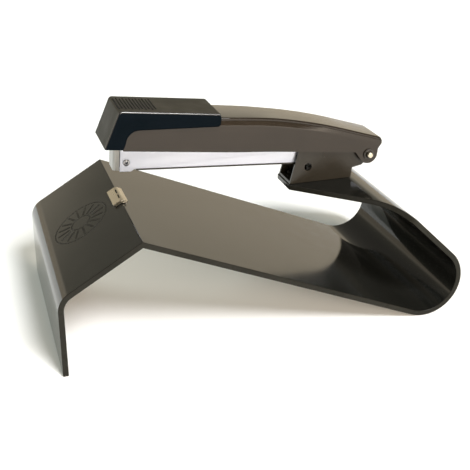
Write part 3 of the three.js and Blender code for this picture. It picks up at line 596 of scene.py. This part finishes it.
def build_base_sheet():
    """The bent sheet, as rings from the foot to the platform's end, with its two ends rounded."""
    path = sheet_path()
    path.split(LONGEST_STRETCH)
    face_a, face_b = path.face_a, path.face_b
    distances = [0.0]
    for i in range(len(face_b) - 1, 0, -1):
        distances.append(distances[-1] + (face_b[i] - face_b[i - 1]).length)
    distances.reverse()
    bm = bmesh.new()
    rings = []
    steps = 3
    start = (face_a[1] - face_a[0]).normalized()
    end = (face_a[-1] - face_a[-2]).normalized()
    for k in range(steps):
        turn = math.pi / 2 * k / steps
        inset = SHEET_EDGE * (1 - math.sin(turn))
        step = start * SHEET_EDGE * (1 - math.cos(turn))
        rings.append(sheet_ring(bm, face_a[0] + step, face_b[0] + step, half_width, inset))
    first_step = start * SHEET_EDGE
    rings.append(sheet_ring(bm, face_a[0] + first_step, face_b[0] + first_step, half_width, 0))
    for a, b, distance in list(zip(face_a, face_b, distances))[1:-1]:
        rings.append(sheet_ring(bm, a, b, flare_half_width(distance), 0))
    for k in range(steps + 1):
        turn = math.pi / 2 * k / steps
        inset = SHEET_EDGE * (1 - math.cos(turn))
        step = end * SHEET_EDGE * (1 - math.sin(turn))
        half = flare_half_width(step.length)
        rings.append(sheet_ring(bm, face_a[-1] - step, face_b[-1] - step, half, inset))
    bridge_rings(bm, rings)
    sheet = mesh_object("base_sheet_body", bm, base_paint, 30)
    sheet.modifiers.clear()
    cutters = []
    through = 4 * SHEET_THICKNESS
    for i in range(1, 5):
        cutters.append(hole_cutter(f"bracket_screw_{i}", SCREW_HOLE_RADIUS, through, platform_top))
    through = 5 * SHEET_THICKNESS
    for i in (1, 2):
        cutters.append(hole_cutter(f"anvil_rivet_{i}", RIVET_HOLE_RADIUS, through, ridge[1]))
    cut_away(sheet, cutters)
    finish_mesh(sheet, base_paint, 30)
    paint_faces(sheet, edge_paint, on_cut_edge)
    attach(sheet, "base")
    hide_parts("base_sheet")


build_base_sheet()

# ---------------------------------------------------------------- handle shell


def ease(t):
    """A smooth step from 0 to 1 as t goes from 0 to 1."""
    t = min(max(t, 0), 1)
    return t * t * (3 - 2 * t)


def handle_half(x):
    """Half the handle's width at x."""
    taper = ease((x - TAPER_START) / TAPER_LENGTH)
    return HANDLE_FRONT_HALF + (HANDLE_REAR_HALF - HANDLE_FRONT_HALF) * taper


def handle_height(x):
    """The top line: straight, then an arc, then straight to the rounded rear."""
    turn = math.asin((CROWN_END - CROWN_START) / CROWN_RADIUS)
    if x <= CROWN_START:
        return HANDLE_TOP
    if x <= CROWN_END:
        return HANDLE_TOP - CROWN_RADIUS + math.sqrt(CROWN_RADIUS ** 2 - (x - CROWN_START) ** 2)
    drop = CROWN_RADIUS * (1 - math.cos(turn)) + (x - CROWN_END) * math.tan(turn)
    beyond = x - (HANDLE_REAR - HANDLE_REAR_RADIUS)
    if beyond > 0:
        drop += HANDLE_REAR_RADIUS - math.sqrt(max(HANDLE_REAR_RADIUS ** 2 - beyond ** 2, 0))
    return HANDLE_TOP - drop


def handle_low(x):
    """The lower edge of the side walls, with the lug round the pivot."""
    if x < HANDLE_FRONT + NOSE_CUT_LENGTH:
        return HANDLE_BOTTOM + (HANDLE_FRONT + NOSE_CUT_LENGTH - x) * NOSE_CUT_SLOPE
    if x < LUG_START:
        return HANDLE_BOTTOM
    lug_in = -LUG_RADIUS * math.cos(LUG_TANGENT)
    lug_z = -LUG_RADIUS * math.sin(LUG_TANGENT)
    if x < lug_in:
        return HANDLE_BOTTOM + (lug_z - HANDLE_BOTTOM) * (x - LUG_START) / (lug_in - LUG_START)
    if x < LUG_RADIUS * LUG_REAR_SHARE:
        return -math.sqrt(LUG_RADIUS ** 2 - x ** 2)
    return LUG_NECK + (HANDLE_REAR_BOTTOM - LUG_NECK) * (x - LUG_RADIUS) / (HANDLE_REAR - LUG_RADIUS)


def handle_section(x, low, inset):
    """Half of the section at x as (y, z) points from the lower edge to the middle of the top.

    inset is 0 for the outside and the wall for the inside. The shoulder is at most a share of the height,
    because the walls get low at the rear.
    """
    half = handle_half(x) - inset
    top = handle_height(x) - inset
    span = top - low
    fade = 1 - ease((x - SHOULDER_FADE_START) / SHOULDER_FADE_LENGTH)
    lean = SHOULDER_LEAN * (SHOULDER_LEAN_REAR + (1 - SHOULDER_LEAN_REAR) * fade)
    depth = min(SHOULDER_DEPTH, 0.7 * span)
    step = min(SHOULDER_STEP, 0.1 * span)
    radius = min(max(TOP_FILLET - inset, TOP_FILLET_INSIDE), 0.3 * span)
    shoulder = top - depth
    points = [(half, low), (half, (low + shoulder) / 2), (half, shoulder - step)]
    points.append((half - 0.04 * lean, shoulder))
    groove_in = half - lean - GROOVE_DEPTH * step / MM
    groove_high = top - radius - 0.3 * step
    groove_low = groove_high - GROOVE_HEIGHT * step / MM
    points.append((half - lean, groove_low - 0.15 * step))
    points.append((groove_in, groove_low))
    points.append((groove_in, groove_high))
    points.append((half - lean, groove_high + 0.15 * step))
    steps = 6
    for k in range(steps + 1):
        turn = math.pi / 2 * k / steps
        points.append((half - lean - radius * (1 - math.cos(turn)), top - radius * (1 - math.sin(turn))))
    flat = points[-1][0]
    for share in (0.66, 0.33):
        points.append((flat * share, top + TOP_CROWN * (1 - share ** 2)))
    points.append((0, top + TOP_CROWN))
    return points


def mirrored(points):
    """The half section and its mirror image, as one run of points."""
    return points + [(-y, z) for y, z in reversed(points[:-1])]


def handle_stations():
    """Where the sections stand: evenly along the sides, and closer round the lug and the rear."""
    count = math.ceil((LUG_START - HANDLE_FRONT) / STATION_STEP)
    stations = [HANDLE_FRONT + i * STATION_STEP for i in range(count)]
    stations = [x for x in stations if x < LUG_START - 1 * MM] + [LUG_START]
    lug_steps = 22
    for i in range(lug_steps + 1):
        angle = math.pi + LUG_TANGENT + (math.pi - LUG_TANGENT) * i / lug_steps
        stations.append(LUG_RADIUS * math.cos(angle))
    rear_steps = 10
    for i in range(1, rear_steps + 1):
        share = math.sin(math.pi / 2 * i / rear_steps)
        stations.append(LUG_RADIUS + (HANDLE_REAR - LUG_RADIUS) * share)
    return sorted(set(round(x, 7) for x in stations))


def build_handle():
    """The pressed handle shell: one outline outside and one inside, a wall apart."""
    bm = bmesh.new()
    rings = []
    for x in handle_stations():
        low = handle_low(x)
        outer = mirrored(handle_section(x, low, 0))
        inner = mirrored(handle_section(x, low, HANDLE_WALL))
        ring = [bm.verts.new((x, y, z)) for y, z in outer]
        ring += [bm.verts.new((x, y, z)) for y, z in reversed(inner)]
        rings.append(ring)
    bridge_rings(bm, rings)
    bm.transform(HANDLE_FRAME)
    shell = mesh_object("handle_cover", bm, handle_paint, 40)
    shell.modifiers.clear()
    cross = HANDLE_FRAME @ Matrix.Rotation(math.pi / 2, 4, "X")
    cut_away(shell, [cylinder(PIN_HOLE_RADIUS, 4 * HANDLE_REAR_HALF, cross)])
    finish_mesh(shell, handle_paint, 40)
    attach(shell, "handle")
    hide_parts("handle_shell")


build_handle()

# ---------------------------------------------------------------- CAD shapes with rounded edges

# CAD node, name here, material, bevel in mm, slot.
ROUNDED = [
    ("anvil_plate", "anvil_cover", nickel, 0.45, "nickel"),
    ("anvil_shoe", "anvil_liner", nickel, 0.1, "nickel"),
    ("hinge_bracket", "pivot_bracket", bracket_paint, 0.35, "bracket_paint"),
    ("magazine_channel", "magazine_body", bright_steel, 0.25, "bright_steel"),
    # The front plate keeps the bright steel's slot but takes the darker copy: painted shade.
    ("front_plate", "magazine_front", plate_steel_painted_shade, 0.25, "bright_steel"),
    ("core_rail", "staple_rail", spring_steel, 0.2, "spring_steel"),
    ("runner_strip", "magazine_runner", dark_steel, 0.25, "dark_steel"),
    ("spring_saddle", "spring_seat", spring_steel, 0.25, "spring_steel"),
    ("pusher", "staple_pusher", spring_steel, 0.25, "spring_steel"),
    ("driver_blade", "drive_blade", spring_steel, 0.1, "spring_steel"),
    ("driver_leaf", "drive_leaf", spring_steel, 0.15, "spring_steel"),
    ("pin_washer_near", "pin_ring_near", dark_steel, 0.2, "dark_steel"),
    ("pin_washer_far", "pin_ring_far", dark_steel, 0.2, "dark_steel"),
    ("pivot_pin", "hinge_pin", nickel, 0.15, "nickel"),
    ("nose_cap", "nose_cover", cap_gloss, 1.2, "cap_plastic"),
]
refined = {}
for node, name, material, bevel, slot_name in ROUNDED:
    refined[node] = refine(node, name, material, bevel * MM)

anvil_middle = middle_of("anvil_plate").y
to_handle_level = HANDLE_FRAME.inverted()
to_handle_facing = to_handle_level.to_3x3()


# The faces inside the anvil's two grooves, which take the painted shade.
def in_groove(centre, normal):
    across = abs(centre.x - ridge[0] - ANVIL_GROOVE_OFFSET)
    along = abs(abs(centre.y - anvil_middle) - ANVIL_GROOVE_PITCH / 2)
    return across < ANVIL_GROOVE_HALF_WIDTH and along < ANVIL_GROOVE_HALF_LENGTH


# The bevel faces along the cap's top edge, which take the painted highlight.
def on_cap_edge(centre, normal):
    return 0.2 < abs(normal.y) < 0.98 and (to_handle_facing @ normal).z > 0.15


def on_cap_top(centre, normal):
    return abs(normal.y) <= 0.2 and (to_handle_facing @ normal).z > -0.3


# The anvil's grooves get the painted shade.
paint_faces(refined["anvil_plate"], anvil_groove_painted_shade, in_groove)
paint_faces(refined["nose_cap"], cap_matt, on_cap_top)
# The cap's top edge bevel gets the painted highlight.
paint_faces(refined["nose_cap"], cap_edge_painted_highlight, on_cap_edge)

# ---------------------------------------------------------------- springs


def coil(name, node, start, end, size):
    """A compression spring from start to end, with its end turns closed up."""
    radius, wire, turns = size
    length = (end - start).length
    frame_z = (end - start).normalized()
    frame_x = frame_z.orthogonal().normalized()
    frame_y = frame_z.cross(frame_x)
    total = int(COIL_STEPS * turns)
    dead = CLOSED_TURNS * COIL_STEPS
    heights = [0.0]
    for i in range(1, total + 1):
        closed = i <= dead or i > total - dead
        heights.append(heights[-1] + (CLOSED_PITCH if closed else 1.0))
    rise = (length - 2 * wire) / heights[-1]

    def point(i):
        turn = 2 * math.pi * i / COIL_STEPS
        flat = frame_x * math.cos(turn) + frame_y * math.sin(turn)
        return start + frame_z * (wire + heights[min(max(i, 0), total)] * rise) + flat * radius, flat

    bm = bmesh.new()
    rings = []
    for i in range(total + 1):
        place, flat = point(i)
        before, after = point(max(i - 1, 0))[0], point(min(i + 1, total))[0]
        along = (after - before).normalized()
        side = along.cross(flat).normalized()
        ring = []
        for k in range(WIRE_SIDES):
            turn = 2 * math.pi * k / WIRE_SIDES
            ring.append(bm.verts.new(place + (flat * math.cos(turn) + side * math.sin(turn)) * wire))
        rings.append(ring)
    bridge_rings(bm, rings)
    spring = mesh_object(name, bm, spring_steel, 50)
    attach(spring, frame["nodes"][node]["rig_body"])
    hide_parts(node)
    return spring


def build_springs():
    """The three coils, each as long as its CAD solid, or shorter by the play under the shell."""
    low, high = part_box("lift_spring")
    middle = (low + high) / 2
    lift = coil("lift_coil", "lift_spring", Vector((middle.x, middle.y, low.z)),
                Vector((middle.x, middle.y, high.z)), LIFT_COIL)
    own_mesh(lift)

    tilt = MAGAZINE_FRAME.to_3x3()
    upward = tilt @ Vector((0, 0, 1))
    backward = tilt @ Vector((1, 0, 0))
    low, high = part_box("handle_spring")
    middle = (low + high) / 2
    radius, wire = HANDLE_COIL[:2]
    reach = (high.z - low.z - 2 * (radius + wire) * abs(backward.z)) / upward.z / 2
    top = middle + upward * (reach - HANDLE_COIL_PLAY)
    coil("handle_coil", "handle_spring", middle - upward * reach, top, HANDLE_COIL)

    low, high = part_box("pusher_spring")
    middle = (low + high) / 2
    radius, wire = PUSHER_COIL[:2]
    reach = (high.x - low.x - 2 * (radius + wire) * abs(upward.x)) / backward.x / 2
    rear = middle + backward * reach
    pusher = coil("pusher_coil", "pusher_spring", middle - backward * reach, rear, PUSHER_COIL)
    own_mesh(pusher)


build_springs()

# ---------------------------------------------------------------- relief on the cap and the front slope


def add_block(bm, centre, along, across, up, length, width, height):
    """A low block with chamfered top edges."""
    chamfer = min(height, 0.25 * min(length, width))
    bottom, top = [], []
    for side_a, side_b in ((-1, -1), (1, -1), (1, 1), (-1, 1)):
        corner = centre + along * (side_a * length / 2) + across * (side_b * width / 2)
        bottom.append(bm.verts.new(corner - up * height))
        inward = along * (side_a * (length / 2 - chamfer)) + across * (side_b * (width / 2 - chamfer))
        top.append(bm.verts.new(centre + inward + up * height))
    bm.faces.new(list(reversed(bottom)))
    bm.faces.new(top)
    for i in range(4):
        j = (i + 1) % 4
        bm.faces.new((bottom[i], bottom[j], top[j], top[i]))


def cap_top_height():
    """The height of the cap's flat top in the handle's level frame."""
    return max((to_handle_level @ vertex.co).z for vertex in refined["nose_cap"].data.vertices)


def build_grip():
    """A thumb grip: staggered short ribs moulded on the cap's top."""
    height = cap_top_height()
    bm = bmesh.new()
    pitch_x = GRIP_LENGTH / GRIP_COLUMNS
    pitch_y = GRIP_WIDTH / GRIP_ROWS
    for column in range(GRIP_COLUMNS):
        for row in range(GRIP_ROWS):
            shift = pitch_y / 2 if column % 2 else 0
            y = (row + 0.25) * pitch_y + shift - GRIP_WIDTH / 2
            centre = Vector((CAP_TOP_FRONT + (column + 0.5) * pitch_x, y, height))
            add_block(bm, centre, Vector((1, 0, 0)), Vector((0, 1, 0)), Vector((0, 0, 1)),
                      pitch_x * RIB_LENGTH_SHARE, pitch_y * RIB_WIDTH_SHARE, GRIP_HEIGHT)
    bm.transform(HANDLE_FRAME)
    grip = mesh_object("cap_grip", bm, cap_gloss, 30)
    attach(grip, "handle")


def build_rosette():
    """A shallow round pattern on the front slope: petals between two dashed rings."""
    knee = Vector((sheet_low.x + LEG_LEAN, 0, LEG_HEIGHT))
    top = Vector((ridge[0], 0, ridge[1]))
    along = (top - knee).normalized()
    across = Vector((0, 1, 0))
    up = along.cross(across)
    if up.z < 0:
        up = -up
    centre = (knee + top) / 2

    def spoke(turn):
        """The outward and the sideways direction at a turn about the centre."""
        out = along * math.cos(turn) + across * math.sin(turn)
        return out, across * math.cos(turn) - along * math.sin(turn)

    bm = bmesh.new()
    for radius in (ROSETTE_RADIUS, ROSETTE_RADIUS * ROSETTE_INNER_SHARE):
        dash = 2 * math.pi * radius / RING_DASHES * RING_DASH_SHARE
        for i in range(RING_DASHES):
            out, sideways = spoke(2 * math.pi * i / RING_DASHES)
            add_block(bm, centre + out * radius, sideways, out, up, dash, RING_WIDTH, ROSETTE_HEIGHT)
    petal = ROSETTE_RADIUS * PETAL_LENGTH_SHARE
    for i in range(ROSETTE_PETALS):
        out, sideways = spoke(2 * math.pi * i / ROSETTE_PETALS)
        middle = centre + out * ROSETTE_RADIUS * PETAL_MIDDLE_SHARE
        add_block(bm, middle, out, sideways, up, petal, PETAL_WIDTH, ROSETTE_HEIGHT)
    rosette = mesh_object("slope_rosette", bm, relief_paint, 30)
    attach(rosette, "base")


build_grip()
build_rosette()

# ---------------------------------------------------------------- rivets and screws, turned finer


def turned(node, name, material, axis):
    """A CAD piece of revolution, spun again from its own section with a finer round."""
    source = frame["nodes"][node]
    centre = middle_of(node)
    axis = Vector(axis)
    coarse = bmesh.new()
    coarse.from_mesh(source.data)
    bmesh.ops.remove_doubles(coarse, verts=coarse.verts, dist=WELD)

    def arm(vertex):
        """How far a vertex stands off the axis, and which way."""
        reach = vertex.co - centre
        return reach - axis * reach.dot(axis)

    on_axis = {v for v in coarse.verts if arm(v).length < 0.01 * MM}
    first = next(v for v in coarse.verts if v not in on_axis)
    side = arm(first).normalized()
    section = {v for v in coarse.verts if v in on_axis or (arm(v).normalized() - side).length < 0.02}
    fine = bmesh.new()
    copies = {v: fine.verts.new(v.co) for v in coarse.verts if v in section}
    for edge in coarse.edges:
        if edge.verts[0] in section and edge.verts[1] in section:
            fine.edges.new([copies[v] for v in edge.verts])
    coarse.free()
    bmesh.ops.spin(fine, geom=fine.verts[:] + fine.edges[:], cent=centre, axis=axis,
                   angle=2 * math.pi, steps=TURNED_STEPS, use_merge=True)
    bmesh.ops.remove_doubles(fine, verts=fine.verts, dist=WELD)
    obj = mesh_object(name, fine, material)
    obj.modifiers.clear()
    round_edges(obj, TURNED_EDGE, segments=2, angle=30)
    finish_mesh(obj, material)
    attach(obj, source["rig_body"])
    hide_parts(node)
    return obj


def cross_recess(obj, top):
    """Cuts a cross for the driver into a screw's head, whose top is at top."""
    cutters = []
    for turn in (0, math.pi / 2):
        bm = bmesh.new()
        bmesh.ops.create_cube(bm, size=1)
        shape = Matrix.Diagonal((RECESS_LENGTH, RECESS_WIDTH, 2 * RECESS_DEPTH, 1))
        bm.transform(Matrix.Translation(top) @ Matrix.Rotation(turn + RECESS_TURN, 4, "Z") @ shape)
        cutters.append(bm)
    cut_away(obj, cutters)
    finish_mesh(obj, dark_steel)


for i in (1, 2):
    turned(f"anvil_rivet_{i}", f"anvil_fastener_{i}", dark_steel, (0, 0, 1))
for side in ("near", "far"):
    turned(f"front_rivet_{side}", f"nose_rivet_{side}", spring_steel, (0, 1, 0))
for i in range(1, 5):
    screw = turned(f"bracket_screw_{i}", f"bracket_fastener_{i}", dark_steel, (0, 0, 1))
    low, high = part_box(f"bracket_screw_{i}")
    cross_recess(screw, Vector(((low.x + high.x) / 2, (low.y + high.y) / 2, high.z)))

# ---------------------------------------------------------------- small pieces that stay the CAD's own

OWN_MESH = {
    "rail_plug": spring_steel, "staple_strip": bright_steel, "guide_rod": bright_steel,
    "spring_anchor": spring_steel, "magazine_bush": spring_steel,
    "pivot_spacer_near": spring_steel, "pivot_spacer_far": spring_steel,
    "leaf_rivet_1": bright_steel, "leaf_rivet_2": bright_steel,
}
for i in range(1, 5):
    OWN_MESH[f"bracket_nut_{i}"] = bright_steel
for node, material in OWN_MESH.items():
    mesh = frame["nodes"][node].data
    mesh.materials.clear()
    mesh.materials.append(material)

# ---------------------------------------------------------------- studio


FLOOR_REACH = 6.0
FLOOR_DROP = 0.2 * MM
CAMERA_PLACE = (-0.1806, -0.5579, 0.3202)
CAMERA_TURN = (math.radians(64.92), 0, math.radians(-17.71))
CAMERA_LENS = 66.4


def add_floor():
    """A matt white floor, just under the foot so that the two don't meet."""
    bm = bmesh.new()
    bmesh.ops.create_grid(bm, x_segments=1, y_segments=1, size=FLOOR_REACH)
    material, nodes, links, shader = new_material("floor_white")
    shader.inputs["Roughness"].default_value = 0.9
    shader.inputs["Specular IOR Level"].default_value = 0.0
    tone = noise_node(nodes, links, 3, 2)
    vary_colour(nodes, links, tone, (0.885, 0.90, 0.91), (0.905, 0.92, 0.93), shader.inputs["Base Color"])
    floor = mesh_object("floor", bm, material)
    floor.location.z = -FLOOR_DROP
    floor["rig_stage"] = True


def key_light():
    """A wide, soft sun from above, in front and a little to the right."""
    light = bpy.data.lights.new("key", "SUN")
    light.angle = math.radians(18)
    light.energy = 3.8
    light.color = (1.0, 0.99, 0.98)
    obj = add_object("key", light)
    obj.rotation_euler = Vector((-0.35, 0.95, -1.0)).to_track_quat("-Z", "Y").to_euler()


def world_light():
    """A warm glow low behind the object, dim above and in front, and plain white to the eye."""
    world = bpy.data.worlds.new("studio")
    bpy.context.scene.world = world
    world.use_nodes = True
    nodes, links = world.node_tree.nodes, world.node_tree.links
    glow = nodes["Background"]
    coords = nodes.new("ShaderNodeTexCoord")
    split = nodes.new("ShaderNodeSeparateXYZ")
    links.new(coords.outputs["Generated"], split.inputs["Vector"])
    height = nodes.new("ShaderNodeValToRGB")
    elements = height.color_ramp.elements
    elements[0].position, elements[0].color = 0.0, (0.86, 0.745, 0.56, 1)
    elements[1].position, elements[1].color = 1.0, (0.22, 0.20, 0.17, 1)
    bands = (
        (0.15, (0.90, 0.78, 0.585, 1)), (0.21, (1.1, 0.98, 0.76, 1)),
        (0.29, (0.40, 0.37, 0.29, 1)), (0.5, (0.28, 0.26, 0.22, 1)),
    )
    for position, colour in bands:
        elements.new(position).color = colour
    links.new(split.outputs["Z"], height.inputs["Fac"])
    links.new(height.outputs["Color"], glow.inputs["Color"])
    depth = nodes.new("ShaderNodeMapRange")
    depth.interpolation_type = "SMOOTHSTEP"
    depth.inputs["From Min"].default_value = -0.45
    depth.inputs["From Max"].default_value = 0.35
    depth.inputs["To Min"].default_value = 0.38
    depth.inputs["To Max"].default_value = 1.0
    links.new(split.outputs["Y"], depth.inputs["Value"])
    links.new(depth.outputs["Result"], glow.inputs["Strength"])
    white = nodes.new("ShaderNodeBackground")
    path = nodes.new("ShaderNodeLightPath")
    choose = nodes.new("ShaderNodeMixShader")
    links.new(path.outputs["Is Camera Ray"], choose.inputs["Fac"])
    links.new(glow.outputs["Background"], choose.inputs[1])
    links.new(white.outputs["Background"], choose.inputs[2])
    white.inputs["Color"].default_value = (1, 1, 1, 1)
    links.new(choose.outputs["Shader"], nodes["World Output"].inputs["Surface"])


def soft_light(name, location, size, power, colour):
    """A wide light that opens up a shadow and shows in no reflection."""
    light = bpy.data.lights.new(name, "AREA")
    light.shape = "RECTANGLE"
    light.size, light.size_y = size
    light.energy = power
    light.color = colour
    obj = add_object(name, light)
    obj.location = location
    obj.rotation_euler = (-obj.location).to_track_quat("-Z", "Y").to_euler()
    obj.visible_glossy = False


add_floor()
world_light()
key_light()
soft_light("front_fill", location=(0.4, -1.6, 0.35), size=(1.6, 0.5), power=58, colour=(1.0, 0.85, 0.68))
soft_light("left_fill", location=(-1.0, 1.2, 0.8), size=(0.8, 0.8), power=12, colour=(0.86, 1.0, 0.93))

camera_data = bpy.data.cameras.new("camera")
camera_data.lens = CAMERA_LENS
camera_data.sensor_width = 36
camera_data.clip_start = 0.01
camera = add_object("camera", camera_data)
camera.location = CAMERA_PLACE
camera.rotation_euler = CAMERA_TURN
bpy.context.scene.camera = camera
bpy.context.scene.view_settings.view_transform = "Standard"

# ---------------------------------------------------------------- sizes and end

low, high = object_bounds()
